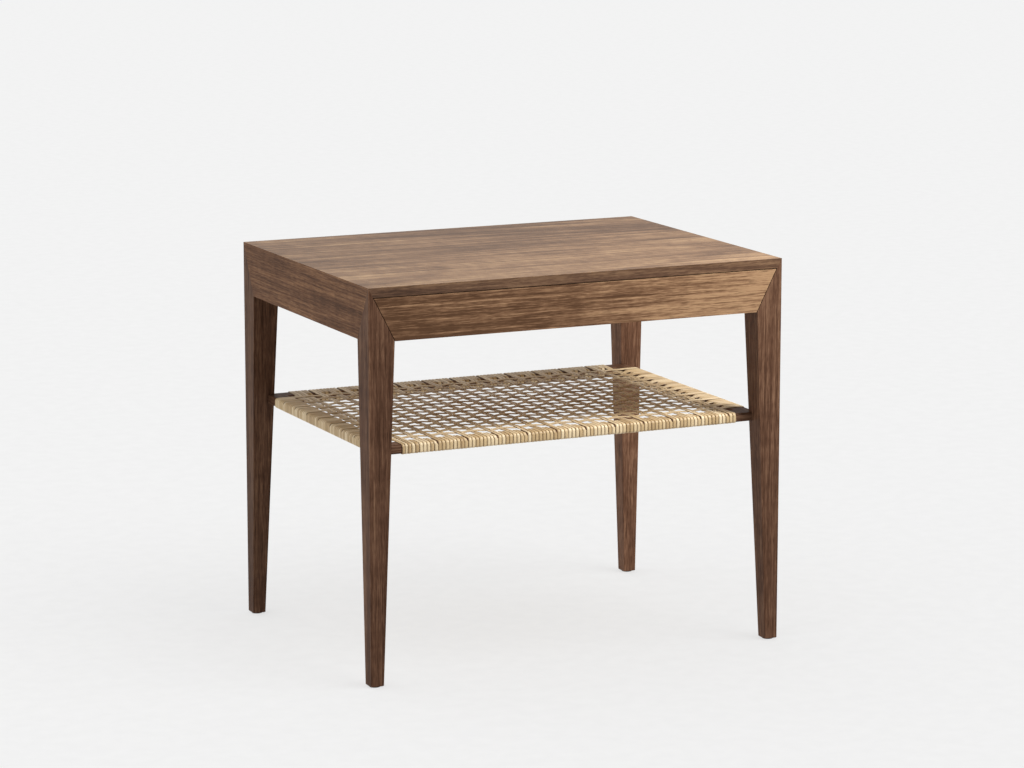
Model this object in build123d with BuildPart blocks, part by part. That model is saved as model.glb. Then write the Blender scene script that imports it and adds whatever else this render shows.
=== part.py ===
"""Bedside table with one drawer and a woven cane shelf.

Four tapered legs rise to the top corners of the case and meet the aprons, the drawer front and the top
board on sloping mitres. The drawer runs on wooden strips inside the case. A shelf frame of four rails
stands between the legs, and its cane is woven over the rails.

Frame: +X to the right, +Y to the back, +Z up, origin at the centre of the footprint on the floor.
"""
from build123d import *
import os

# ---------------------------------------------------------------- driving dimensions, in mm
WIDTH = 560.0
DEPTH = 414.0
HEIGHT = 490.0

APRON_BOTTOM = 424.0        # underside of the aprons and of the drawer front
APRON_T = 18.0
BOARD_T = 12.0

LEG_TOP = 34.0              # leg width where it meets the apron's lower edge
LEG_FOOT = 17.0             # leg width at the floor
FOOT_CHAMFER = 0.8

GLIDE_R = 7.0
GLIDE_T = 1.2
GLIDE_EDGE = 0.4
GLIDE_PIN_R = 1.2
GLIDE_PIN_L = 12.0

FRONT_T = 20.0              # drawer front
FRONT_GAP = 1.0             # gap seen around the drawer front
FRONT_SWEEP = 1.5           # extra room cut in the side aprons behind that gap
COVE_R = 9.0                # finger cove under the drawer front's back edge
COVE_L = 240.0

BOX_HALF = 243.5            # half the drawer box's width
BOX_SIDE_T = 12.0
BOX_BOTTOM = 434.0
BOX_TOP = 473.0
BOX_REAR = 175.0
BOX_BACK_TOP = 468.0
PANEL_Z = 437.0             # underside of the drawer's bottom panel
PANEL_T = 5.0
PANEL_LIP = 5.0             # depth of the grooves that hold the panel

RUNNER_GROOVE_Z = 446.0     # lower face of the groove in the drawer side
RUNNER_GROOVE_H = 10.6
RUNNER_GROOVE_D = 6.0
RUNNER_H = 9.7
RUNNER_LIFT = 0.3           # runner's underside above the groove's lower face
RUNNER_INSET = 9.0          # how far the runner is let into its block, from the apron's inner face
RUNNER_HALF_L = 165.0
RUNNER_CLEAR = 0.5          # sideways clearance in the groove
GROOVE_FRONT_GAP = 3.0
BLOCK_T = 17.0              # block that packs the runner out from the apron
BLOCK_Z = 436.0
BLOCK_H = 26.0
BLOCK_HALF_L = 170.0

CLEAT = 12.0                # width of the glued strips under the top board
CLEAT_H = 10.0
CLEAT_HALF_L = 165.0
BACK_CLEAT_HALF_L = 200.0

STRIP_W = 12.0              # strip under the board that stops the open drawer
STRIP_H = 8.0
STRIP_HALF_L = 120.0
STRIP_Y = -92.0
PEG_R = 3.0
PEG_L = 16.0
PEG_TOP = 475.0
PEG_X = 80.0

STOP_SIZE = (20.0, 22.0)    # block that stops the closing drawer: width and height
STOP_X = 160.0
STOP_Z = 440.0
STOP_GAP = 0.5

RAIL_W = 24.0               # shelf rails, laid flat
RAIL_H = 11.0
RAIL_BOTTOM = 281.8
RAIL_INSET = 19.8           # rail's outer face behind the leg's outer face
RAIL_TOP_R = 3.0
RAIL_BOTTOM_R = 2.0
CANE_T = 1.2                # one layer of cane
WRAP_HALF_X = 229.0         # half the length of the wrapped stretch of the front and back rails
WRAP_HALF_Y = 151.5         # the same on the side rails
CANE_PANEL_T = 2.4
CANE_PANEL_LAP = 2.2        # how far the woven panel laps over the wraps' rounded inner edges

LEG_DOWEL_R = 4.0
LEG_DOWEL_L = 30.0
LEG_DOWEL_START = 14.0
LEG_DOWEL_IN = 9.0          # dowel's centre behind the outer face
LEG_DOWEL_HEIGHTS = (432.0, 444.0)
SHELF_DOWEL_R = 2.0
SHELF_DOWEL_L = 32.0
SHELF_DOWEL_IN = 24.0
SHELF_DOWEL_LOW = 3.1       # front and back rails' dowels above the rail's underside
SHELF_DOWEL_HIGH = 7.9      # side rails' dowels above the rail's underside
BOX_DOWEL_R = 3.0
BOX_DOWEL_L = 24.0
BOX_DOWEL_HEIGHTS = (450.0, 465.0)
BOX_BACK_DOWEL_Z = 461.5
BOX_BACK_DOWEL_L = 22.0
BOX_BACK_DOWEL_IN = 2.0     # dowel's outer end behind the drawer side's outer face

SCREW_R = 1.9
SCREW_HEAD_R = 3.8
SCREW_HEAD_H = 2.4
RECESS_D = 1.6
RECESS_L = 4.2
RECESS_W = 0.9
RUNNER_SCREW_L = 32.0
RUNNER_SCREW_SPACING = 140.0
CLEAT_SCREW_L = 18.0
BOTTOM_SCREW_L = 16.0

# ---------------------------------------------------------------- derived places
HALF_W = WIDTH / 2
HALF_D = DEPTH / 2
BOARD_Z = HEIGHT - BOARD_T
FRONT_Y = -HALF_D + FRONT_T             # back face of the drawer front
APRON_X = HALF_W - APRON_T              # inner face of a side apron
APRON_Y = HALF_D - APRON_T              # inner face of the back apron
CORNER_CUT = 2 * APRON_T                # reach of the 45-degree cut where two aprons meet
RUNNER_X = BOX_HALF - RUNNER_GROOVE_D + RUNNER_CLEAR
RUNNER_Z = RUNNER_GROOVE_Z + RUNNER_LIFT
PANEL_HALF_X = BOX_HALF - BOX_SIDE_T + PANEL_LIP
RAIL_Z = RAIL_BOTTOM + RAIL_H / 2
RAIL_MID = RAIL_INSET + RAIL_W / 2      # rail's centre line behind the leg's outer face
RAIL_TOP = RAIL_BOTTOM + RAIL_H

SIDES = {"left": -1, "right": 1}
ENDS = {"front": -1, "back": 1}
MIN = (Align.CENTER, Align.CENTER, Align.MIN)
MAX = (Align.CENTER, Align.CENTER, Align.MAX)

pieces = {}


def mitre_inset(z):
    """How far a sloping mitre plane stands in from the outer face at height z."""
    return LEG_TOP * (HEIGHT - z) / (HEIGHT - APRON_BOTTOM)


def leg_outline(sign, half):
    """A leg seen square on: straight outside, tapered inside, mitred up to the top corner."""
    return [
        (sign * half, GLIDE_T),
        (sign * (half - LEG_FOOT), GLIDE_T),
        (sign * (half - LEG_TOP), APRON_BOTTOM),
        (sign * half, HEIGHT),
    ]


def mitred_outline(half, low, high):
    """The stretch between two legs' mitres, from height low to height high."""
    return [
        (-half + mitre_inset(low), low),
        (half - mitre_inset(low), low),
        (half - mitre_inset(high), high),
        (-half + mitre_inset(high), high),
    ]


def apron_outline(sign, half):
    """An apron's section: full thickness up to the board, then bevelled under the board's edge."""
    return [
        (sign * half, APRON_BOTTOM),
        (sign * (half - APRON_T), APRON_BOTTOM),
        (sign * (half - APRON_T), BOARD_Z),
        (sign * (half - mitre_inset(BOARD_Z)), BOARD_Z),
        (sign * half, HEIGHT),
    ]


def rods(starts, radius, length):
    """Round rods, one from each plane in starts, running along that plane's normal."""
    with BuildPart() as group:
        with Locations(*starts):
            Cylinder(radius, length, align=MIN)
    return group


def screw_bodies(heads, length):
    """Countersunk screws without recesses: each head's face lies on its plane, facing its normal."""
    with BuildPart() as group:
        with Locations(*heads):
            Cylinder(SCREW_R, length, align=MAX)
            Cone(SCREW_R, SCREW_HEAD_R, SCREW_HEAD_H, align=MAX)
    return group


def recessed_screws(bodies, heads):
    """The same screws with a cross recess in every head."""
    with BuildPart() as group:
        add(bodies.part)
        with Locations(*heads):
            Box(RECESS_L, RECESS_W, RECESS_D, align=MAX, mode=Mode.SUBTRACT)
            Box(RECESS_W, RECESS_L, RECESS_D, align=MAX, mode=Mode.SUBTRACT)
    return group


def block(corner, opposite):
    """A plain squared block between two opposite corners, added to the open part."""
    size = [abs(b - a) for a, b in zip(corner, opposite)]
    middle = [(a + b) / 2 for a, b in zip(corner, opposite)]
    with Locations(tuple(middle)):
        Box(*size)


# ---------------------------------------------------------------- dowels, pegs and screws
leg_dowel_planes = []
for side in SIDES.values():
    for height in LEG_DOWEL_HEIGHTS:
        across = side * (HALF_W - LEG_DOWEL_IN)
        for end in ENDS.values():
            start = (across, end * (HALF_D - LEG_DOWEL_START), height)
            leg_dowel_planes.append(Plane(start, z_dir=(0, -end, 0)))
        start = (side * (HALF_W - LEG_DOWEL_START), HALF_D - LEG_DOWEL_IN, height)
        leg_dowel_planes.append(Plane(start, z_dir=(-side, 0, 0)))
leg_dowels = rods(leg_dowel_planes, LEG_DOWEL_R, LEG_DOWEL_L)

shelf_dowel_planes = []
for side in SIDES.values():
    for end in ENDS.values():
        low_start = (side * (HALF_W - LEG_DOWEL_START), end * (HALF_D - SHELF_DOWEL_IN),
                     RAIL_BOTTOM + SHELF_DOWEL_LOW)
        high_start = (side * (HALF_W - SHELF_DOWEL_IN), end * (HALF_D - LEG_DOWEL_START),
                      RAIL_BOTTOM + SHELF_DOWEL_HIGH)
        shelf_dowel_planes.append(Plane(low_start, z_dir=(-side, 0, 0)))
        shelf_dowel_planes.append(Plane(high_start, z_dir=(0, -end, 0)))
shelf_dowels = rods(shelf_dowel_planes, SHELF_DOWEL_R, SHELF_DOWEL_L)

front_dowel_planes = []
for side in SIDES.values():
    for height in BOX_DOWEL_HEIGHTS:
        start = (side * (BOX_HALF - BOX_SIDE_T / 2), FRONT_Y - BOX_DOWEL_L / 2, height)
        front_dowel_planes.append(Plane(start, z_dir=(0, 1, 0)))
back_dowel_planes = []
for side in SIDES.values():
    start = (side * (BOX_HALF - BOX_BACK_DOWEL_IN), BOX_REAR - BOX_SIDE_T / 2, BOX_BACK_DOWEL_Z)
    back_dowel_planes.append(Plane(start, z_dir=(-side, 0, 0)))
front_dowels = rods(front_dowel_planes, BOX_DOWEL_R, BOX_DOWEL_L)
back_dowels = rods(back_dowel_planes, BOX_DOWEL_R, BOX_BACK_DOWEL_L)
with BuildPart() as drawer_dowels:
    add(front_dowels.part)
    add(back_dowels.part)

peg_planes = [Plane((x, BOX_REAR - BOX_SIDE_T / 2, PEG_TOP - PEG_L)) for x in (-PEG_X, PEG_X)]
stop_pegs = rods(peg_planes, PEG_R, PEG_L)

runner_screw_planes = []
for side in SIDES.values():
    for step in (-1, 0, 1):
        head = (side * RUNNER_X, step * RUNNER_SCREW_SPACING, RUNNER_Z + RUNNER_H / 2)
        runner_screw_planes.append(Plane(head, z_dir=(-side, 0, 0)))
runner_screw_bodies = screw_bodies(runner_screw_planes, RUNNER_SCREW_L)

cleat_screw_planes = []
for step in (-1, 0, 1):
    for side in SIDES.values():
        head = (side * (APRON_X - CLEAT / 2), step * RUNNER_SCREW_SPACING, BOARD_Z - CLEAT_H)
        cleat_screw_planes.append(Plane(head, z_dir=(0, 0, -1)))
    head = (step * RUNNER_SCREW_SPACING, APRON_Y - CLEAT / 2, BOARD_Z - CLEAT_H)
    cleat_screw_planes.append(Plane(head, z_dir=(0, 0, -1)))
cleat_screw_bodies = screw_bodies(cleat_screw_planes, CLEAT_SCREW_L)

bottom_screw_planes = []
for step in (-1, 0, 1):
    head = (step * RUNNER_SCREW_SPACING, BOX_REAR - BOX_SIDE_T / 2, PANEL_Z)
    bottom_screw_planes.append(Plane(head, z_dir=(0, 0, -1)))
bottom_screw_bodies = screw_bodies(bottom_screw_planes, BOTTOM_SCREW_L)

pieces["leg_dowels"] = leg_dowels
pieces["shelf_dowels"] = shelf_dowels
pieces["drawer_dowels"] = drawer_dowels
pieces["stop_pegs"] = stop_pegs
pieces["runner_screws"] = recessed_screws(runner_screw_bodies, runner_screw_planes)
pieces["cleat_screws"] = recessed_screws(cleat_screw_bodies, cleat_screw_planes)
pieces["drawer_bottom_screws"] = recessed_screws(bottom_screw_bodies, bottom_screw_planes)


# ---------------------------------------------------------------- foot glides and legs
def make_glide(side, end):
    """A plastic glide nailed into the end of a leg."""
    centre = (side * (HALF_W - LEG_FOOT / 2), end * (HALF_D - LEG_FOOT / 2))
    with BuildPart() as glide:
        with Locations((*centre, 0)):
            Cylinder(GLIDE_R, GLIDE_T, align=MIN)
        chamfer(glide.edges().group_by(Axis.Z)[0], GLIDE_EDGE)
        with Locations((*centre, GLIDE_T)):
            Cylinder(GLIDE_PIN_R, GLIDE_PIN_L, align=MIN)
    return glide


def make_leg(side, end, glide):
    """A leg square in section, tapered on its two inner faces, ending in a point at the top corner."""
    with BuildPart() as leg:
        with BuildSketch(Plane.XZ):
            Polygon(*leg_outline(side, HALF_W), align=None)
        extrude(amount=HALF_D, both=True)
        with BuildSketch(Plane.YZ):
            Polygon(*leg_outline(end, HALF_D), align=None)
        extrude(amount=HALF_W, both=True, mode=Mode.INTERSECT)
        chamfer(leg.edges().group_by(Axis.Z)[0], FOOT_CHAMFER)
        add(glide.part, mode=Mode.SUBTRACT)
        add(leg_dowels.part, mode=Mode.SUBTRACT)
        add(shelf_dowels.part, mode=Mode.SUBTRACT)
    return leg


for end_name, end in ENDS.items():
    for side_name, side in SIDES.items():
        corner = f"{end_name}_{side_name}"
        pieces[f"foot_glide_{corner}"] = make_glide(side, end)
        pieces[f"leg_{corner}"] = make_leg(side, end, pieces[f"foot_glide_{corner}"])

# ---------------------------------------------------------------- the case: board, aprons, cleats
with BuildPart() as top_board:
    with BuildSketch(Plane.XZ):
        Polygon(*mitred_outline(HALF_W, BOARD_Z, HEIGHT), align=None)
    extrude(amount=HALF_D, both=True)
    with BuildSketch(Plane.YZ):
        Polygon(
            (-HALF_D, BOARD_Z),
            (HALF_D - mitre_inset(BOARD_Z), BOARD_Z),
            (HALF_D, HEIGHT),
            (-HALF_D, HEIGHT),
            align=None,
        )
    extrude(amount=HALF_W, both=True, mode=Mode.INTERSECT)
    add(cleat_screw_bodies.part, mode=Mode.SUBTRACT)
pieces["top_board"] = top_board


def make_side_apron(side):
    """A side apron between two legs, cut back at the front so that the drawer front slides past it."""
    with BuildPart() as apron:
        with BuildSketch(Plane.XZ):
            Polygon(*apron_outline(side, HALF_W), align=None)
        extrude(amount=HALF_D, both=True)
        with BuildSketch(Plane.YZ):
            Polygon(*mitred_outline(HALF_D, APRON_BOTTOM, HEIGHT), align=None)
        extrude(amount=HALF_W, both=True, mode=Mode.INTERSECT)
        with BuildSketch(Plane.XY.offset(APRON_BOTTOM)):
            Polygon(
                (side * HALF_W, HALF_D),
                (side * (HALF_W - CORNER_CUT), HALF_D),
                (side * (HALF_W - CORNER_CUT), HALF_D - CORNER_CUT),
                align=None,
            )
        extrude(amount=BOARD_Z - APRON_BOTTOM, mode=Mode.SUBTRACT)
        with BuildSketch(Plane.XZ.offset(HALF_D)):
            Polygon(
                (side * (HALF_W - LEG_TOP + FRONT_GAP), APRON_BOTTOM),
                (0, APRON_BOTTOM),
                (0, BOARD_Z),
                (side * (HALF_W - mitre_inset(BOARD_Z) + FRONT_GAP), BOARD_Z),
                align=None,
            )
        extrude(amount=-(FRONT_T + FRONT_SWEEP), mode=Mode.SUBTRACT)
        add(leg_dowels.part, mode=Mode.SUBTRACT)
        add(runner_screw_bodies.part, mode=Mode.SUBTRACT)
    return apron


with BuildPart() as back_apron:
    with BuildSketch(Plane.YZ):
        Polygon(*apron_outline(1, HALF_D), align=None)
    extrude(amount=HALF_W, both=True)
    with BuildSketch(Plane.XZ):
        Polygon(*mitred_outline(HALF_W, APRON_BOTTOM, HEIGHT), align=None)
    extrude(amount=HALF_D, both=True, mode=Mode.INTERSECT)
    for side in SIDES.values():
        with BuildSketch(Plane.XY.offset(APRON_BOTTOM)):
            Polygon(
                (side * HALF_W, HALF_D),
                (side * HALF_W, HALF_D - CORNER_CUT),
                (side * (HALF_W - CORNER_CUT), HALF_D - CORNER_CUT),
                align=None,
            )
        extrude(amount=BOARD_Z - APRON_BOTTOM, mode=Mode.SUBTRACT)
    add(leg_dowels.part, mode=Mode.SUBTRACT)
pieces["back_apron"] = back_apron

for side_name, side in SIDES.items():
    pieces[f"side_apron_{side_name}"] = make_side_apron(side)
    with BuildPart() as side_cleat:
        block((side * APRON_X, -CLEAT_HALF_L, BOARD_Z - CLEAT_H),
              (side * (APRON_X - CLEAT), CLEAT_HALF_L, BOARD_Z))
        add(cleat_screw_bodies.part, mode=Mode.SUBTRACT)
    pieces[f"top_cleat_{side_name}"] = side_cleat

with BuildPart() as top_cleat_back:
    block((-BACK_CLEAT_HALF_L, APRON_Y - CLEAT, BOARD_Z - CLEAT_H),
          (BACK_CLEAT_HALF_L, APRON_Y, BOARD_Z))
    add(cleat_screw_bodies.part, mode=Mode.SUBTRACT)
pieces["top_cleat_back"] = top_cleat_back

# ---------------------------------------------------------------- what the drawer runs on and stops at
with BuildPart() as stop_strip:
    block((-STRIP_HALF_L, STRIP_Y - STRIP_W / 2, BOARD_Z - STRIP_H),
          (STRIP_HALF_L, STRIP_Y + STRIP_W / 2, BOARD_Z))
pieces["stop_strip"] = stop_strip

for side_name, side in SIDES.items():
    with BuildPart() as runner:
        block((side * RUNNER_X, -RUNNER_HALF_L, RUNNER_Z),
              (side * (APRON_X - RUNNER_INSET), RUNNER_HALF_L, RUNNER_Z + RUNNER_H))
        add(runner_screw_bodies.part, mode=Mode.SUBTRACT)
    pieces[f"runner_{side_name}"] = runner
    with BuildPart() as runner_block:
        block((side * APRON_X, -BLOCK_HALF_L, BLOCK_Z),
              (side * (APRON_X - BLOCK_T), BLOCK_HALF_L, BLOCK_Z + BLOCK_H))
        add(runner.part, mode=Mode.SUBTRACT)
        add(runner_screw_bodies.part, mode=Mode.SUBTRACT)
    pieces[f"runner_block_{side_name}"] = runner_block
    with BuildPart() as drawer_stop:
        block((side * STOP_X - STOP_SIZE[0] / 2, BOX_REAR + STOP_GAP, STOP_Z),
              (side * STOP_X + STOP_SIZE[0] / 2, APRON_Y, STOP_Z + STOP_SIZE[1]))
    pieces[f"drawer_stop_{side_name}"] = drawer_stop

# ---------------------------------------------------------------- the drawer
with BuildPart() as drawer_bottom:
    block((-PANEL_HALF_X, FRONT_Y - PANEL_LIP, PANEL_Z), (PANEL_HALF_X, BOX_REAR, PANEL_Z + PANEL_T))
    add(bottom_screw_bodies.part, mode=Mode.SUBTRACT)
pieces["drawer_bottom"] = drawer_bottom

with BuildPart() as drawer_front:
    with BuildSketch(Plane.XZ.offset(HALF_D)):
        Polygon(*mitred_outline(HALF_W - FRONT_GAP, APRON_BOTTOM, BOARD_Z - FRONT_GAP), align=None)
    extrude(amount=-FRONT_T)
    with Locations((0, FRONT_Y, APRON_BOTTOM)):
        Cylinder(COVE_R, COVE_L, rotation=(0, 90, 0), mode=Mode.SUBTRACT)
    add(drawer_bottom.part, mode=Mode.SUBTRACT)
    add(front_dowels.part, mode=Mode.SUBTRACT)
pieces["drawer_front"] = drawer_front

for side_name, side in SIDES.items():
    with BuildPart() as drawer_side:
        block((side * BOX_HALF, FRONT_Y, BOX_BOTTOM), (side * (BOX_HALF - BOX_SIDE_T), BOX_REAR, BOX_TOP))
        groove_centre = ((BOX_REAR - RUNNER_HALF_L - GROOVE_FRONT_GAP) / 2,
                         RUNNER_GROOVE_Z + RUNNER_GROOVE_H / 2)
        groove_length = BOX_REAR + RUNNER_HALF_L + GROOVE_FRONT_GAP
        with Locations((side * BOX_HALF, *groove_centre)):
            Box(2 * RUNNER_GROOVE_D, groove_length, RUNNER_GROOVE_H, mode=Mode.SUBTRACT)
        add(drawer_bottom.part, mode=Mode.SUBTRACT)
        add(drawer_dowels.part, mode=Mode.SUBTRACT)
    pieces[f"drawer_side_{side_name}"] = drawer_side

with BuildPart() as drawer_back:
    block((-BOX_HALF + BOX_SIDE_T, BOX_REAR - BOX_SIDE_T, PANEL_Z + PANEL_T),
          (BOX_HALF - BOX_SIDE_T, BOX_REAR, BOX_BACK_TOP))
    add(back_dowels.part, mode=Mode.SUBTRACT)
    add(stop_pegs.part, mode=Mode.SUBTRACT)
    add(bottom_screw_bodies.part, mode=Mode.SUBTRACT)
pieces["drawer_back"] = drawer_back


# ---------------------------------------------------------------- the cane shelf
def rail_bar(plane, half_length, grow):
    """A bar with the rail's rounded section, grown by the cane's thickness where grow is set."""
    with BuildPart() as bar:
        with BuildSketch(plane) as section:
            Rectangle(RAIL_W, RAIL_H)
            fillet(section.vertices().group_by(Axis.Y)[-1], RAIL_TOP_R)
            fillet(section.vertices().group_by(Axis.Y)[0], RAIL_BOTTOM_R)
            if grow:
                offset(amount=grow)
        extrude(amount=half_length, both=True)
    return bar


def rail_plan(half_along, half_across, end):
    """A rail in plan, as (along, across) points: its ends are mitred behind the legs' inner edges."""
    outer = end * (half_across - RAIL_INSET)
    heel = end * (half_across - SHELF_DOWEL_IN)
    inner = end * (half_across - RAIL_INSET - RAIL_W)
    reach = half_along - SHELF_DOWEL_IN
    mitre = half_along - RAIL_INSET - RAIL_W
    return [(-reach, outer), (reach, outer), (reach, heel), (mitre, inner), (-mitre, inner), (-reach, heel)]


def make_rail(plane, plan, half_length):
    """A shelf rail, butted against the legs' inner faces."""
    bar = rail_bar(plane, half_length, 0)
    with BuildPart() as rail:
        add(bar.part)
        with BuildSketch(Plane.XY.offset(RAIL_BOTTOM)):
            Polygon(*plan, align=None)
        extrude(amount=RAIL_H, mode=Mode.INTERSECT)
        for name, piece in pieces.items():
            if name.startswith("leg_") and name != "leg_dowels":
                add(piece.part, mode=Mode.SUBTRACT)
        add(shelf_dowels.part, mode=Mode.SUBTRACT)
    return rail


def make_wrap(plane, wrapped, half_length):
    """The cane wound round a rail, as one closed sleeve: the wrapped bar without its rail."""
    bare = rail_bar(plane, half_length, 0)
    with BuildPart() as wrap:
        add(wrapped.part)
        add(bare.part, mode=Mode.SUBTRACT)
    return wrap


wrapped_bars = []
for end_name, end in ENDS.items():
    plane = Plane((0, end * (HALF_D - RAIL_MID), RAIL_Z), x_dir=(0, 1, 0), z_dir=(1, 0, 0))
    plan = rail_plan(HALF_W, HALF_D, end)
    wrapped = rail_bar(plane, WRAP_HALF_X, CANE_T)
    wrapped_bars.append(wrapped)
    pieces[f"shelf_rail_{end_name}"] = make_rail(plane, plan, HALF_W)
    pieces[f"cane_wrap_{end_name}"] = make_wrap(plane, wrapped, WRAP_HALF_X)
for side_name, side in SIDES.items():
    plane = Plane((side * (HALF_W - RAIL_MID), 0, RAIL_Z), x_dir=(-1, 0, 0), z_dir=(0, 1, 0))
    plan = [(across, along) for along, across in rail_plan(HALF_D, HALF_W, side)]
    wrapped = rail_bar(plane, WRAP_HALF_Y, CANE_T)
    wrapped_bars.append(wrapped)
    pieces[f"shelf_rail_{side_name}"] = make_rail(plane, plan, HALF_D)
    pieces[f"cane_wrap_{side_name}"] = make_wrap(plane, wrapped, WRAP_HALF_Y)

with BuildPart() as cane_panel:
    reach_x = HALF_W - RAIL_INSET - RAIL_W - CANE_T + CANE_PANEL_LAP
    reach_y = HALF_D - RAIL_INSET - RAIL_W - CANE_T + CANE_PANEL_LAP
    panel_top = RAIL_TOP + CANE_T
    panel_low = panel_top - CANE_PANEL_T
    block((-WRAP_HALF_X, -reach_y, panel_low), (WRAP_HALF_X, reach_y, panel_top))
    block((-reach_x, -WRAP_HALF_Y, panel_low), (reach_x, WRAP_HALF_Y, panel_top))
    for wrapped in wrapped_bars:
        add(wrapped.part, mode=Mode.SUBTRACT)
pieces["cane_panel"] = cane_panel

# ---------------------------------------------------------------- one STEP file for each piece
os.makedirs("parts", exist_ok=True)
for name, piece in pieces.items():
    piece.part.label = name
    export_step(piece.part, f"parts/{name}.step")
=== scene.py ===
"""Looks for the bedside table: oiled walnut, a drawer of pale wood and a shelf woven from binder cane.

Lengths are in metres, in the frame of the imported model: +X right, +Y back, +Z up.
"""

import math
import random

import bpy
import numpy as np
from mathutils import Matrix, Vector


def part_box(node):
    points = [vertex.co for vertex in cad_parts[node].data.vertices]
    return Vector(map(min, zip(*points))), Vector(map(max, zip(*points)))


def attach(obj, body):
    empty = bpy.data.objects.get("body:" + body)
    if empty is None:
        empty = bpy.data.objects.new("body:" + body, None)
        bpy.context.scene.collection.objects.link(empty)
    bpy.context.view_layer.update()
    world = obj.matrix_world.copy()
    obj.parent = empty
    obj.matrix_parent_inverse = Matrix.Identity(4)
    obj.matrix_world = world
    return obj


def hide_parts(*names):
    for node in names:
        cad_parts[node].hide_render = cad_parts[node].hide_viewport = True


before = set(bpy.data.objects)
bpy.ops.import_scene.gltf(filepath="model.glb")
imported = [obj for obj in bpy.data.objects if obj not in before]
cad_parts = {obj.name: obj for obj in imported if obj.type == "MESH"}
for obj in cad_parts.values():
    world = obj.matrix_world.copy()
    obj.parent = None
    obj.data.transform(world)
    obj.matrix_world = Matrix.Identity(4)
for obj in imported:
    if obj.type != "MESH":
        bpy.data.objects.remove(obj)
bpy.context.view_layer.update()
random.seed(7)

MM = 0.001

# ---------------------------------------------------------------- driving values
STRAND_W = 4.2 * MM             # one strand of cane
STRAND_T = 0.85 * MM
# Its section: each point's place across and above its underside, as shares of its width and thickness.
STRAND_SHAPE = ((-0.5, 0.0), (-0.48, 0.42), (-0.37, 0.76), (-0.17, 0.96), (0.17, 0.96), (0.37, 0.76),
                (0.48, 0.42), (0.5, 0.0))
STRAND_WIDTHS = (0.94, 1.02)    # least and greatest width of a strand, as a share of STRAND_W
PAIR_OFFSET = 2.2 * MM          # each strand of a pair beside the pair's middle
DOUBLED_SWELL = 1.6 * MM        # how much wider the doubled pair's strands lie in the weave than on the rails
SPREAD_REACH = 20.0 * MM        # length along which the doubled pair spreads, from a rail's inner edge
WOBBLE = 0.22 * MM              # size of each of the two waves in a woven strand's line
WOBBLE_RATES = (55.0, 103.0)    # radians per metre
WAVE_FLATNESS = 1.8
WARP_COUNT = 23                 # pairs of strands that run front to back
WARP_PITCH = 20.0 * MM
WARP_SHIFT = 3.5 * MM           # the warp's middle beside the shelf's middle
WEFT_COUNT = 16                 # pairs of strands that run left to right
WEFT_PITCH = 19.55 * MM
WEAVE_STEPS = 8                 # points along a strand from one crossing to the next
RAIL_TOP_R = 3.0 * MM
RAIL_BOTTOM_R = 2.0 * MM
ARC_STEPS = 5
SLIT = 4.2 * MM                 # bare gap left beside every second pair, at a rail's inner edge
TOP_SHARE = 0.55                # share of that gap that closes on the way to the rail's outer edge
LIFTS = (0.2 * MM, 0.32 * MM)   # least and greatest height of a strand's underside over a rail
LEAN = 0.25 * MM                # how far a turn may shift on its way down a rail
TURN_FILL = 0.97                # share of its room that a turn fills on a rail's top
FACE_FILL = 0.93                # share of its room that a strand or a turn fills on a rail's outer face
FILLER_GAP = 0.15 * MM          # gap between the two filler turns between pairs

# The doubled pair: each strand's offset from the first pair's middle, how far it spreads in the weave, and
# its share of the room left on the rail's face.
DOUBLED = (
    (6.8 * MM, 1.5 * MM, 0.75),
    (11.3 * MM, 3.1 * MM, 0.25),
)

SEAM_STEP = 0.12                # how much darker the top's back plank is
SEAM_SHIFT = 0.9                # how far its figure is moved along the grain
TOP_TINT = (1.27, 1.3, 1.2)
# The top board's edges are painted darker than its top face: painted shade, where the top face takes the
# light and sheen.
TOP_EDGE_PAINTED_SHADE = (0.5, 0.45, 0.45)
TOP_EDGE_DEPTH = 0.2 * MM       # where the board's edges begin, below its top face
DRAWER_TINT = (1.18, 1.16, 1.09)
APRON_TINT = (0.9, 0.77, 0.65)
LEG_TINT = (0.62, 0.56, 0.57)
# Each leg's colour is scaled as painted light and shade: the back right leg lighter where the key reaches
# under the top, the back left darker in the top's shadow.
LEG_PAINTED_LIGHT_AND_SHADE = {"front_left": 1.08, "front_right": 1.1, "back_left": 0.9, "back_right": 1.5}

WHITE = (1.0, 1.0, 1.0, 1.0)
WORLD_LIGHT = 0.42              # light of the surroundings, before the three slopes below
WORLD_ABOVE = 0.5               # how much brighter they are overhead, and darker below
WORLD_BACK = 0.2775             # the same behind the table, and darker in front of it
WORLD_LEFT = 0.36               # the same at its left, and darker at its right
KEY_AIM = Vector((0.0, 0.0, 0.35))
KEY_AWAY = Vector((0.84, -0.84, 1.22))
KEY_SIZE = 0.45
KEY_POWER = 36.0
FLOOR_LIGHT = 1.0
FLOOR_LIGHT_ANGLE = 50.0        # degrees across
FLOOR_HALF = 60.0
FLOOR_GREY = 0.27
FLOOR_MOTTLE = 0.01             # how much lighter and darker than FLOOR_GREY it gets
FLOOR_GLOW = 0.632              # light that the floor gives out itself, so that its shadows stay faint

CAMERA_PLACE = (-1.884, -4.043, 1.163)
CAMERA_PITCH = 10.74            # degrees below the horizon
CAMERA_YAW = 25.04              # degrees, towards +X from +Y
CAMERA_LENS = 125.0


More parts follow.
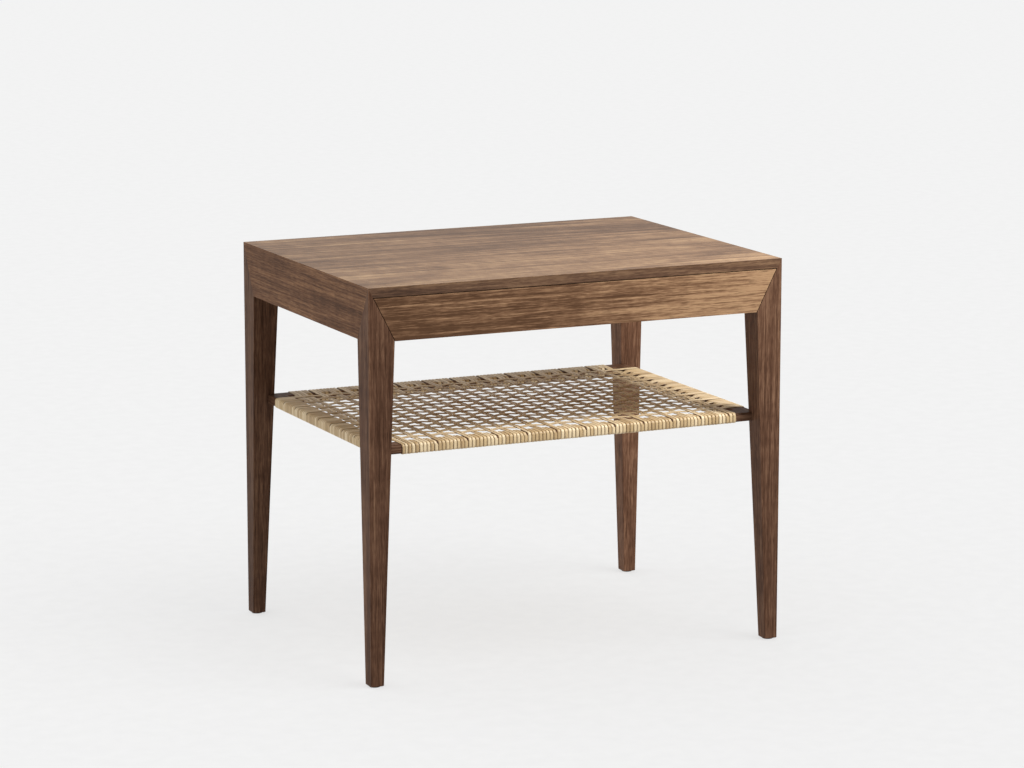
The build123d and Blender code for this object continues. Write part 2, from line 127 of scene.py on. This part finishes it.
# ---------------------------------------------------------------- node helper
class Shader:
    """Builds one material: each method adds a node and gives back its output."""

    def __init__(self, name):
        self.material = bpy.data.materials.new(name)
        self.material.use_nodes = True
        self.nodes = self.material.node_tree.nodes
        self.links = self.material.node_tree.links
        self.surface = self.nodes["Principled BSDF"]

    def set_input(self, socket, value):
        """Links an output to a socket, or sets a constant on it."""
        if isinstance(value, bpy.types.NodeSocket):
            self.links.new(value, socket)
        else:
            socket.default_value = value

    def math(self, operation, first, second=0.0):
        node = self.nodes.new("ShaderNodeMath")
        node.operation = operation
        self.set_input(node.inputs[0], first)
        self.set_input(node.inputs[1], second)
        return node.outputs[0]

    def split(self, vector):
        node = self.nodes.new("ShaderNodeSeparateXYZ")
        self.set_input(node.inputs[0], vector)
        return node.outputs

    def join(self, x, y, z):
        node = self.nodes.new("ShaderNodeCombineXYZ")
        for socket, value in zip(node.inputs, (x, y, z)):
            self.set_input(socket, value)
        return node.outputs[0]

    def scaled(self, vector, scale, shift=(0.0, 0.0, 0.0)):
        node = self.nodes.new("ShaderNodeMapping")
        self.set_input(node.inputs["Vector"], vector)
        node.inputs["Scale"].default_value = scale
        node.inputs["Location"].default_value = shift
        return node.outputs[0]

    def noise(self, vector, detail=2.0, roughness=0.5):
        node = self.nodes.new("ShaderNodeTexNoise")
        self.set_input(node.inputs["Vector"], vector)
        node.inputs["Scale"].default_value = 1.0
        node.inputs["Detail"].default_value = detail
        node.inputs["Roughness"].default_value = roughness
        return node.outputs["Fac"]

    def ramp(self, value, *stops):
        """Colour or grey by value: each stop is (position, colour or grey)."""
        node = self.nodes.new("ShaderNodeValToRGB")
        self.set_input(node.inputs[0], value)
        while len(node.color_ramp.elements) < len(stops):
            node.color_ramp.elements.new(0.5)
        for element, (position, colour) in zip(node.color_ramp.elements, stops):
            element.position = position
            element.color = (*colour, 1.0) if isinstance(colour, tuple) else (colour, colour, colour, 1.0)
        return node.outputs[0]

    def mix(self, factor, first, second, blend="MIX"):
        node = self.nodes.new("ShaderNodeMix")
        node.data_type = "RGBA"
        node.blend_type = blend
        self.set_input(node.inputs["Factor"], factor)
        for socket, value in ((node.inputs[6], first), (node.inputs[7], second)):
            self.set_input(socket, (*value, 1.0) if isinstance(value, tuple) else value)
        return node.outputs[2]

    def attribute(self, name):
        node = self.nodes.new("ShaderNodeAttribute")
        node.attribute_name = name
        return node.outputs["Vector"]

    def place(self):
        return self.nodes.new("ShaderNodeTexCoord").outputs["Object"]

    def bump(self, height, strength, distance):
        node = self.nodes.new("ShaderNodeBump")
        self.set_input(node.inputs["Height"], height)
        node.inputs["Strength"].default_value = strength
        node.inputs["Distance"].default_value = distance
        self.links.new(node.outputs[0], self.surface.inputs["Normal"])

    def finish(self, colour, roughness, **constants):
        base = (*colour, 1.0) if isinstance(colour, tuple) else colour
        self.set_input(self.surface.inputs["Base Color"], base)
        self.set_input(self.surface.inputs["Roughness"], roughness)
        for name, value in constants.items():
            self.surface.inputs[name.replace("_", " ")].default_value = value
        return self.material


# ---------------------------------------------------------------- wood
WALNUT = ((0.075, 0.038, 0.021), (0.16, 0.088, 0.051), (0.30, 0.185, 0.108))
PALE_WOOD = ((0.36, 0.22, 0.12), (0.52, 0.35, 0.2), (0.64, 0.47, 0.3))
WANDER = 0.03                   # metres that a ring's line strays sideways
UNEVEN_RINGS = 3.0              # how many rings the uneven growth adds or takes
PORE_SHARE = 0.35               # how strongly the pores are tinted
PORE_SHADE = 0.5                # their colour, as a share of the darkest tone
PORE_DEPTH = 0.8                # their depth in the bump, against the fibres' height


def wood(name, along, tones, shift, tint=(1.0, 1.0, 1.0), pith=(0.3, 0.35), tilt=0.03, ring=0.006,
         rings=0.35, streaks=1.0, bands=0.55, contrast=1.0, seam=None, painted_light_fade=(0.0, 0.0), sheen=0.04,
         edge=None):
    """Sawn wood with its grain along an axis.

    pith is how far the tree's middle lies across and below the board, and tilt is how fast it comes
    nearer along the board, which turns the rings into the pointed arches of a flat-sawn board. ring is the
    rings' distance. rings, bands and streaks weigh three parts of the figure, and contrast weighs all of it.
    A seam is a glued joint across the board's width, and fade is (where, how much) the colour is painted
    lighter along the grain, as painted light. edge is (height, shade): below that height, on its edges, the
    board is painted darker, as painted shade. sheen is the surface's specular level.
    """
    shader = Shader(name)
    axes = shader.split(shader.place())
    across, through = {"X": ("Y", "Z"), "Y": ("X", "Z"), "Z": ("X", "Y")}[along]
    length = shader.math("ADD", axes[along], shift)
    width = axes[across]
    depth = axes[through]
    # tone carries the fade's painted light along the grain, and the seam's darker back plank.
    tone = shader.math("MULTIPLY", shader.math("SUBTRACT", axes[along], painted_light_fade[0]), painted_light_fade[1])
    if seam is not None:
        beyond = shader.math("GREATER_THAN", width, seam)
        length = shader.math("ADD", length, shader.math("MULTIPLY", beyond, SEAM_SHIFT))
        tone = shader.math("ADD", tone, shader.math("MULTIPLY", beyond, -SEAM_STEP))
    grain = shader.join(length, width, depth)

    def figure(lengthwise, crosswise, detail=2.0, roughness=0.6):
        """Noise drawn out along the grain, by its scale along and across it."""
        return shader.noise(shader.scaled(grain, (lengthwise, crosswise, crosswise)), detail, roughness)

    wander = figure(2.2, 9.0, 3.0, 0.55)
    wander = shader.math("MULTIPLY", shader.math("SUBTRACT", wander, 0.5), WANDER)
    side = shader.math("ADD", shader.math("SUBTRACT", width, pith[0]), wander)
    below = shader.math("ADD", shader.math("ADD", depth, pith[1]), shader.math("MULTIPLY", length, tilt))
    radius = shader.math("SQRT", shader.math("ADD", shader.math("MULTIPLY", side, side),
                                             shader.math("MULTIPLY", below, below)))
    uneven = shader.noise(shader.scaled(shader.join(radius, length, 0.0), (60.0, 0.6, 1.0)), 2.0, 0.6)
    turns = shader.math("ADD", shader.math("DIVIDE", radius, ring),
                        shader.math("MULTIPLY", uneven, UNEVEN_RINGS))
    late = shader.ramp(shader.math("FRACT", turns), (0.0, 0.45), (0.55, 0.62), (0.9, 0.2), (1.0, 0.45))
    layers = (
        (late, rings),
        (figure(2.6, 130.0, 3.0), bands),
        (figure(6.0, 330.0), 1.2 * streaks),
        (figure(22.0, 600.0), 1.1 * streaks),
        (figure(90.0, 900.0), 0.9),
        (figure(3.5, 14.0, roughness=0.5), 0.9),
        (figure(55.0, 22.0, roughness=0.5), 0.35),
    )
    value = shader.math("ADD", tone, 0.5)
    for layer, weight in layers:
        push = shader.math("MULTIPLY", shader.math("SUBTRACT", layer, 0.5), weight * contrast)
        value = shader.math("ADD", value, push)
    dark, middle, light = [tuple(part * share for part, share in zip(stop, tint)) for stop in tones]
    colour = shader.ramp(value, (0.1, dark), (0.5, middle), (0.9, light))

    fibre = figure(14.0, 1500.0)
    pore = shader.ramp(figure(55.0, 700.0, 1.0, 0.5), (0.58, 0.0), (0.68, 1.0))
    colour = shader.mix(shader.math("MULTIPLY", pore, PORE_SHARE), colour,
                        tuple(PORE_SHADE * part for part in dark))
    # Painted shade: below the edge height, on the board's edges, the colour is darkened.
    if edge is not None:
        colour = shader.mix(shader.math("LESS_THAN", depth, edge[0]), colour, edge[1], "MULTIPLY")
    height = shader.math("SUBTRACT", fibre, shader.math("MULTIPLY", pore, PORE_DEPTH))
    shader.bump(height, 0.25, 0.12 * MM)
    roughness = shader.math("ADD", shader.math("MULTIPLY", fibre, 0.14), 0.38)
    return shader.finish(colour, roughness, Specular_IOR_Level=sheen)


def paint(node, material):
    """Gives a CAD node its material."""
    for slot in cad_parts[node].material_slots:
        slot.material = material


def paint_wood():
    # The top board's edges get painted shade below its top face.
    edge_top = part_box("top_board")[1].z - TOP_EDGE_DEPTH
    paint("top_board", wood("walnut_top", "X", WALNUT, 0.31, TOP_TINT, pith=(-0.1, 0.05), tilt=0.045,
                            ring=0.016, rings=0.6, streaks=0.7, bands=1.1, seam=-0.002, sheen=0.2,
                            edge=(edge_top, TOP_EDGE_PAINTED_SHADE)))
    # The drawer front is painted lighter towards its right: painted light, as if the key fell off across it.
    paint("drawer_front", wood("walnut_drawer", "X", WALNUT, 1.7, DRAWER_TINT, pith=(0.12, 0.42), tilt=0.01,
                               streaks=1.1, contrast=1.1, painted_light_fade=(0.02, 1.3)))
    for number, side in enumerate(("left", "right")):
        paint(f"side_apron_{side}", wood(f"walnut_apron_{side}", "Y", WALNUT, 2.9 + number, APRON_TINT,
                                         contrast=0.9))
        paint(f"shelf_rail_{side}", wood(f"walnut_rail_{side}", "Y", WALNUT, 5.2 + number, LEG_TINT))
    paint("back_apron", wood("walnut_apron_back", "X", WALNUT, 4.4, APRON_TINT, pith=(0.2, 0.3), tilt=0.05))
    for number, end in enumerate(("front", "back")):
        paint(f"shelf_rail_{end}", wood(f"walnut_rail_{end}", "X", WALNUT, 6.1 + number, LEG_TINT))
        for count, side in enumerate(("left", "right")):
            leg = f"{end}_{side}"
            # Painted light and shade: each leg's colour is scaled by its own share.
            tint = tuple(part * LEG_PAINTED_LIGHT_AND_SHADE[leg] for part in LEG_TINT)
            paint(f"leg_{leg}", wood(f"walnut_leg_{leg}", "Z", WALNUT, 7.3 + 2 * number + count, tint,
                                     pith=(0.33, 0.28), tilt=0.02, contrast=0.85))
    pale_x = wood("pale_wood_x", "X", PALE_WOOD, 0.4, contrast=0.5)
    pale_y = wood("pale_wood_y", "Y", PALE_WOOD, 0.9, contrast=0.5)
    for node in ("drawer_back", "drawer_bottom", "top_cleat_back", "stop_strip"):
        paint(node, pale_x)
    for node in ("drawer_side_left", "drawer_side_right", "runner_left", "runner_right", "runner_block_left",
                 "runner_block_right", "top_cleat_left", "top_cleat_right", "drawer_stop_left",
                 "drawer_stop_right", "leg_dowels", "shelf_dowels", "drawer_dowels"):
        paint(node, pale_y)
    paint("stop_pegs", wood("pale_wood_z", "Z", PALE_WOOD, 0.2, contrast=0.5))


# ---------------------------------------------------------------- metal and plastic
def screw_steel():
    """Zinc-plated steel with fine turning marks."""
    shader = Shader("screw_steel")
    marks = shader.noise(shader.scaled(shader.place(), (900.0, 900.0, 2500.0)), 2.0, 0.6)
    shader.bump(marks, 0.1, 0.05 * MM)
    roughness = shader.ramp(marks, (0.3, 0.25), (0.7, 0.42))
    return shader.finish((0.62, 0.6, 0.55), roughness, Metallic=1.0)


def glide_plastic():
    """Dark moulded plastic, scuffed by the floor."""
    shader = Shader("glide_plastic")
    scuffs = shader.noise(shader.scaled(shader.place(), (700.0, 700.0, 700.0)), 3.0, 0.6)
    colour = shader.ramp(scuffs, (0.35, (0.018, 0.015, 0.013)), (0.75, (0.05, 0.044, 0.04)))
    shader.bump(scuffs, 0.15, 0.05 * MM)
    roughness = shader.ramp(scuffs, (0.3, 0.5), (0.7, 0.7))
    return shader.finish(colour, roughness)


def paint_fittings():
    steel = screw_steel()
    for node in ("cleat_screws", "runner_screws", "drawer_bottom_screws"):
        paint(node, steel)
    plastic = glide_plastic()
    for end in ("front", "back"):
        for side in ("left", "right"):
            paint(f"foot_glide_{end}_{side}", plastic)


# ---------------------------------------------------------------- cane
def cane_material():
    """Split cane: straw-coloured, with lengthwise fibres, a slight shine on its skin and painted shade
    towards each strand's edges.

    The strand attribute holds (place across the strand, length along it, a number for each strand).
    """
    shader = Shader("cane_skin")
    strand = shader.attribute("strand")
    across, _, tone = shader.split(strand)
    lines = shader.noise(shader.scaled(strand, (14.0, 25.0, 40.0)), 3.0, 0.6)
    patches = shader.noise(shader.scaled(strand, (1.2, 45.0, 90.0)))
    value = shader.math("ADD", shader.math("MULTIPLY", lines, 0.45), shader.math("MULTIPLY", tone, 0.55))
    value = shader.math("ADD", value, shader.math("MULTIPLY", patches, 0.3))
    colour = shader.ramp(value, (0.25, (0.36, 0.235, 0.11)), (0.62, (0.56, 0.41, 0.22)),
                         (0.97, (0.74, 0.6, 0.39)))
    # Painted shade: each strand darkens towards its edges, for the shade between neighbouring strands.
    edge = shader.math("MULTIPLY", shader.math("ABSOLUTE", across), 2.0)
    edge = shader.ramp(edge, (0.55, 0.0), (1.0, 0.7))
    colour = shader.mix(edge, colour, (0.24, 0.14, 0.065))
    shader.bump(lines, 0.3, 0.12 * MM)
    roughness = shader.ramp(lines, (0.3, 0.38), (0.7, 0.55))
    return shader.finish(colour, roughness, Specular_IOR_Level=0.45)


class StrandMesh:
    """Collects strands of cane into one mesh."""

    def __init__(self):
        self.points = []
        self.faces = []
        self.marks = []

    def add(self, path, across, widths, closed=False):
        """One strand: path is the line of its underside, with a width at each point, and across the axis
        along its width."""
        path = np.asarray(path, float)
        across = np.asarray(across, float)
        widths = np.asarray(widths, float)
        if closed:
            ahead = np.roll(path, -1, axis=0) - np.roll(path, 1, axis=0)
        else:
            ahead = np.gradient(path, axis=0)
        ahead /= np.linalg.norm(ahead, axis=1)[:, None]
        up = np.cross(across, ahead)
        shape = np.array(STRAND_SHAPE)
        rings = (path[:, None] + across * (shape[None, :, :1] * widths[:, None, None])
                 + up[:, None] * (shape[:, 1:] * STRAND_T)[None])
        steps = np.linalg.norm(np.diff(path, axis=0), axis=1)
        along = np.concatenate(([0.0], np.cumsum(steps))) + random.random()
        tone = random.random()
        count = len(shape)
        start = len(self.points)
        for ring, length in zip(rings, along):
            for point, (place, _) in zip(ring, STRAND_SHAPE):
                self.points.append(tuple(point))
                self.marks.append((place, length, tone))
        spans = len(path) if closed else len(path) - 1
        for span in range(spans):
            near = start + span * count
            far = start + (span + 1) % len(path) * count
            for corner in range(count):
                following = (corner + 1) % count
                self.faces.append((near + corner, near + following, far + following, far + corner))
        if not closed:
            last = start + (len(path) - 1) * count
            self.faces.append(tuple(start + corner for corner in reversed(range(count))))
            self.faces.append(tuple(last + corner for corner in range(count)))

    def build(self, name, material):
        mesh = bpy.data.meshes.new(name)
        mesh.from_pydata(self.points, [], self.faces)
        marks = mesh.attributes.new("strand", "FLOAT_VECTOR", "POINT")
        marks.data.foreach_set("vector", np.array(self.marks, np.float32).ravel())
        mesh.polygons.foreach_set("use_smooth", [True] * len(mesh.polygons))
        mesh.materials.append(material)
        mesh.validate()
        mesh.update()
        piece = bpy.data.objects.new(name, mesh)
        bpy.context.scene.collection.objects.link(piece)
        return piece


def arc(centre, radius, start, end):
    """Points on an arc in a rail's section, angles in degrees."""
    angles = [math.radians(start + (end - start) * step / ARC_STEPS) for step in range(ARC_STEPS + 1)]
    return [(centre[0] + radius * math.cos(a), centre[1] + radius * math.sin(a)) for a in angles]


class Rail:
    """A shelf rail's section: out is the horizontal distance away from the shelf's middle."""

    def __init__(self, node, across_axis):
        low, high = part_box(node)
        self.inner, self.outer = sorted((abs(low[across_axis]), abs(high[across_axis])))
        self.bottom = low.z
        self.top = high.z

    def over(self, lift):
        """From the middle of the top, over the outer edge and down, to the underside's inner end."""
        upper = (self.outer - RAIL_TOP_R, self.top - RAIL_TOP_R)
        lower = (self.outer - RAIL_BOTTOM_R, self.bottom + RAIL_BOTTOM_R)
        path = [((self.inner + self.outer) / 2, self.top + lift)]
        path += arc(upper, RAIL_TOP_R + lift, 90, 0)
        path += arc(lower, RAIL_BOTTOM_R + lift, 0, -90)
        path += [(self.inner + RAIL_BOTTOM_R, self.bottom - lift)]
        return path

    def around(self, lift):
        """The whole turn round the rail."""
        upper = (self.inner + RAIL_TOP_R, self.top - RAIL_TOP_R)
        lower = (self.inner + RAIL_BOTTOM_R, self.bottom + RAIL_BOTTOM_R)
        path = self.over(lift)
        path += arc(lower, RAIL_BOTTOM_R + lift, 270, 180)[1:]
        path += arc(upper, RAIL_TOP_R + lift, 180, 90)
        return path


def in_frame(out, height, along, sign, runs_x):
    """A point from a rail's section: runs_x says that the rail runs along X."""
    return (along, sign * out, height) if runs_x else (sign * out, along, height)


def flat_wave(phase):
    """A wave with flattened crests, from -1 to 1."""
    return math.tanh(WAVE_FLATNESS * math.cos(phase)) / math.tanh(WAVE_FLATNESS)


def face_share(out, height, rail):
    """How far a point of a rail's section is towards its outer face: 0 at the top's inner edge, 1 below."""
    drop = (rail.top - height) / RAIL_TOP_R
    reach = (out - rail.inner) / (rail.outer - rail.inner)
    return min(1.0, max(0.0, drop, TOP_SHARE * reach))


def over_rail(rail, lift):
    """A strand's way off the weave, over a rail and under it, as (out, height, share towards the face)."""
    path = [(rail.inner, rail.top + lift)] + rail.over(lift)
    return [(out, height, face_share(out, height, rail)) for out, height in path]


class Pairs:
    """Evenly spaced pairs of strands that cross one direction of the weave.

    On a rail's outer face two strands and two turns share a pitch, so each has face_room. doubled adds a
    pair close beside the first one, squeezed in before the winding's end, which lies half_length from the
    shelf's middle.
    """

    def __init__(self, count, pitch, half_length, shift=0.0, doubled=False):
        self.pitch = pitch
        self.face_room = pitch / 4
        self.half_length = half_length
        self.doubled = doubled
        self.places = [(number - (count - 1) / 2) * pitch + shift for number in range(count)]

    def strands(self):
        """Each woven strand as (its pair's number, place, place on a rail's face, width there, spread)."""
        found = []
        for number, middle in enumerate(self.places):
            for side in (-1, 1):
                found.append((number, middle + side * PAIR_OFFSET, middle + side * self.face_room / 2,
                              FACE_FILL * self.face_room, 0.0))
        if self.doubled:
            room = self.half_length + self.places[0] - self.face_room
            for offset, spread, share in DOUBLED:
                found.append((0, self.places[0] - offset, room * share - self.half_length,
                              FACE_FILL * room / 2, spread))
        return found


def woven_strand(near, far, crossed, number):
    """One strand from under its near rail, over and under the pairs it crosses, to under its far rail."""
    lift = random.uniform(*LIFTS)
    start = crossed.places[0] - crossed.pitch / 2
    mid = near.top - 0.5 * STRAND_T + lift
    path = [(-out, height, share) for out, height, share in reversed(over_rail(near, lift))]
    for step in range(len(crossed.places) * WEAVE_STEPS + 1):
        crossings = step / WEAVE_STEPS - 0.5
        if crossed.doubled:
            crossings = max(0.0, crossings)
        wave = flat_wave(math.pi * (crossings + number))
        path.append((start + step * crossed.pitch / WEAVE_STEPS, mid + 0.5 * STRAND_T * wave, 0.0))
    return path + over_rail(far, lift)


def lay_pairs(mesh, near, far, laid, crossed, odd, runs_y):
    """Strands woven from rail to rail. odd is 1 where the first pair starts under, 0 where it starts over."""
    for number, place, face_place, face_width, spread in laid.strands():
        # Three numbers are drawn and two are used: the third keeps the later draws as they are.
        waves = [random.uniform(0, math.tau) for _ in range(3)]
        width = STRAND_W * random.uniform(*STRAND_WIDTHS)
        swell = DOUBLED_SWELL if spread else 0.0
        points = []
        widths = []
        for t, height, share in woven_strand(near, far, crossed, number + odd):
            wobble = WOBBLE * sum(math.sin(rate * t + wave) for rate, wave in zip(WOBBLE_RATES, waves))
            inward = min(1.0, max(0.0, (near.inner - abs(t)) / SPREAD_REACH))
            shift = place + (face_place - place) * share + wobble * (1 - share) - spread * inward
            points.append((shift, t, height) if runs_y else (t, shift, height))
            widths.append(width + (face_width - width) * share + swell * inward)
        mesh.add(points, (1, 0, 0) if runs_y else (0, -1, 0), widths)


def weave_panel(rails, warp, weft, material):
    """Warp pairs over the front and back rails, weft pairs over the side rails, one over and one under."""
    front, back, left, right = rails
    mesh = StrandMesh()
    lay_pairs(mesh, front, back, warp, weft, 0, True)
    lay_pairs(mesh, left, right, weft, warp, 1, False)
    weave = mesh.build("cane_weave", material)
    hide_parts("cane_panel")
    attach(weave, "case")


def turns_on_rail(pairs, odd):
    """Turns between the pairs, as (place and width on top, place and width on the face).

    The bare gaps come after the first, third and so on pair where odd is 0, and after the second, fourth
    and so on where it is 1.
    """
    pair_edge = PAIR_OFFSET + STRAND_W / 2
    face_width = FACE_FILL * pairs.face_room
    turns = []
    for number, place in enumerate(pairs.places[:-1]):
        low = place + pair_edge
        high = place + pairs.pitch - pair_edge
        if number % 2 == odd:
            high -= SLIT
        room = (high - low - FILLER_GAP) / 2
        for turn in (0, 1):
            middle = low + turn * FILLER_GAP + (turn + 0.5) * room
            turns.append((middle, TURN_FILL * room, place + (turn + 1.5) * pairs.face_room, face_width))
    return turns


def wind_rail(name, rail, sign, runs_x, pairs, odd, material):
    """Turns of cane that fill the rail between the woven pairs."""
    mesh = StrandMesh()
    across = np.array((1, 0, 0) if runs_x else (0, 1, 0))
    if (sign > 0) != runs_x:
        across = -across
    for place, width, face_place, face_width in turns_on_rail(pairs, odd):
        lift = random.uniform(*LIFTS)
        lean = random.uniform(-LEAN, LEAN)
        points = []
        widths = []
        for out, height in rail.around(lift):
            share = face_share(out, height, rail)
            down = (rail.top - height) / (rail.top - rail.bottom)
            along = place + (face_place - place) * share + lean * down
            points.append(in_frame(out, height, along, sign, runs_x))
            widths.append(width + (face_width - width) * share)
        mesh.add(points, across, widths, closed=True)
    winding = mesh.build(f"cane_winding_{name}", material)
    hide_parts(f"cane_wrap_{name}")
    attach(winding, "case")


def weave_shelf():
    material = cane_material()
    front = Rail("shelf_rail_front", 1)
    back = Rail("shelf_rail_back", 1)
    left = Rail("shelf_rail_left", 0)
    right = Rail("shelf_rail_right", 0)
    warp = Pairs(WARP_COUNT, WARP_PITCH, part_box("cane_wrap_front")[1].x, WARP_SHIFT, doubled=True)
    weft = Pairs(WEFT_COUNT, WEFT_PITCH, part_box("cane_wrap_left")[1].y)
    weave_panel((front, back, left, right), warp, weft, material)
    wind_rail("front", front, -1, True, warp, 1, material)
    wind_rail("back", back, 1, True, warp, 0, material)
    wind_rail("left", left, -1, False, weft, 1, material)
    wind_rail("right", right, 1, False, weft, 0, material)


# ---------------------------------------------------------------- stage, light and camera
def make_floor():
    """A wide pale floor that runs past the camera's view."""
    mesh = bpy.data.meshes.new("floor")
    corners = [(x * FLOOR_HALF, y * FLOOR_HALF, 0) for x, y in ((-1, -1), (1, -1), (1, 1), (-1, 1))]
    mesh.from_pydata(corners, [], [(0, 1, 2, 3)])
    floor = bpy.data.objects.new("floor", mesh)
    bpy.context.scene.collection.objects.link(floor)
    shader = Shader("floor_paint")
    mottle = shader.noise(shader.scaled(shader.place(), (40.0, 40.0, 40.0)), 2.0, 0.5)
    colour = shader.ramp(mottle, (0.3, FLOOR_GREY - FLOOR_MOTTLE), (0.7, FLOOR_GREY + FLOOR_MOTTLE))
    mesh.materials.append(shader.finish(colour, 0.9, Specular_IOR_Level=0.0, Emission_Strength=FLOOR_GLOW,
                                        Emission_Color=WHITE))
    return floor


def make_lights(floor):
    """White surroundings, brighter above, behind and to the left, with two lights from the front right.

    The soft key lights everything but the floor, and the wide sun only lights the floor.
    """
    world = bpy.data.worlds.new("studio")
    world.use_nodes = True
    nodes = world.node_tree.nodes
    links = world.node_tree.links
    slope = nodes.new("ShaderNodeVectorMath")
    slope.operation = "DOT_PRODUCT"
    slope.inputs[1].default_value = (-WORLD_LEFT, WORLD_BACK, WORLD_ABOVE)
    links.new(nodes.new("ShaderNodeTexCoord").outputs["Generated"], slope.inputs[0])
    strength = nodes.new("ShaderNodeMath")
    strength.inputs[1].default_value = WORLD_LIGHT
    strength.use_clamp = True
    links.new(slope.outputs["Value"], strength.inputs[0])
    background = nodes["Background"]
    background.inputs["Color"].default_value = WHITE
    links.new(strength.outputs["Value"], background.inputs["Strength"])
    bpy.context.scene.world = world

    key_data = bpy.data.lights.new("key", "AREA")
    key_data.shape = "DISK"
    key_data.size = KEY_SIZE
    key_data.energy = KEY_POWER
    key = bpy.data.objects.new("key", key_data)
    key.location = KEY_AIM + KEY_AWAY
    key.rotation_euler = (-KEY_AWAY).to_track_quat("-Z", "Y").to_euler()
    key.visible_camera = False
    light_only(key, floor, "EXCLUDE")

    sun = bpy.data.lights.new("floor_light", "SUN")
    sun.energy = FLOOR_LIGHT
    sun.angle = math.radians(FLOOR_LIGHT_ANGLE)
    floor_light = bpy.data.objects.new("floor_light", sun)
    floor_light.rotation_euler = (-KEY_AWAY).to_track_quat("-Z", "Y").to_euler()
    light_only(floor_light, floor, "INCLUDE")


def light_only(light, piece, state):
    """Puts a light in the scene that lights only one piece, or everything but that piece."""
    bpy.context.scene.collection.objects.link(light)
    receivers = bpy.data.collections.new(f"{light.name}_receivers")
    receivers.objects.link(piece)
    receivers.collection_objects[0].light_linking.link_state = state
    light.light_linking.receiver_collection = receivers


def make_camera():
    data = bpy.data.cameras.new("camera")
    data.lens = CAMERA_LENS
    data.sensor_width = 36.0
    data.clip_end = 200.0
    camera = bpy.data.objects.new("camera", data)
    camera.location = CAMERA_PLACE
    camera.rotation_euler = (math.radians(90 - CAMERA_PITCH), 0.0, math.radians(-CAMERA_YAW))
    bpy.context.scene.collection.objects.link(camera)
    bpy.context.scene.camera = camera


paint_wood()
paint_fittings()
weave_shelf()
make_lights(make_floor())
make_camera()
bpy.context.scene.view_settings.view_transform = "Standard"
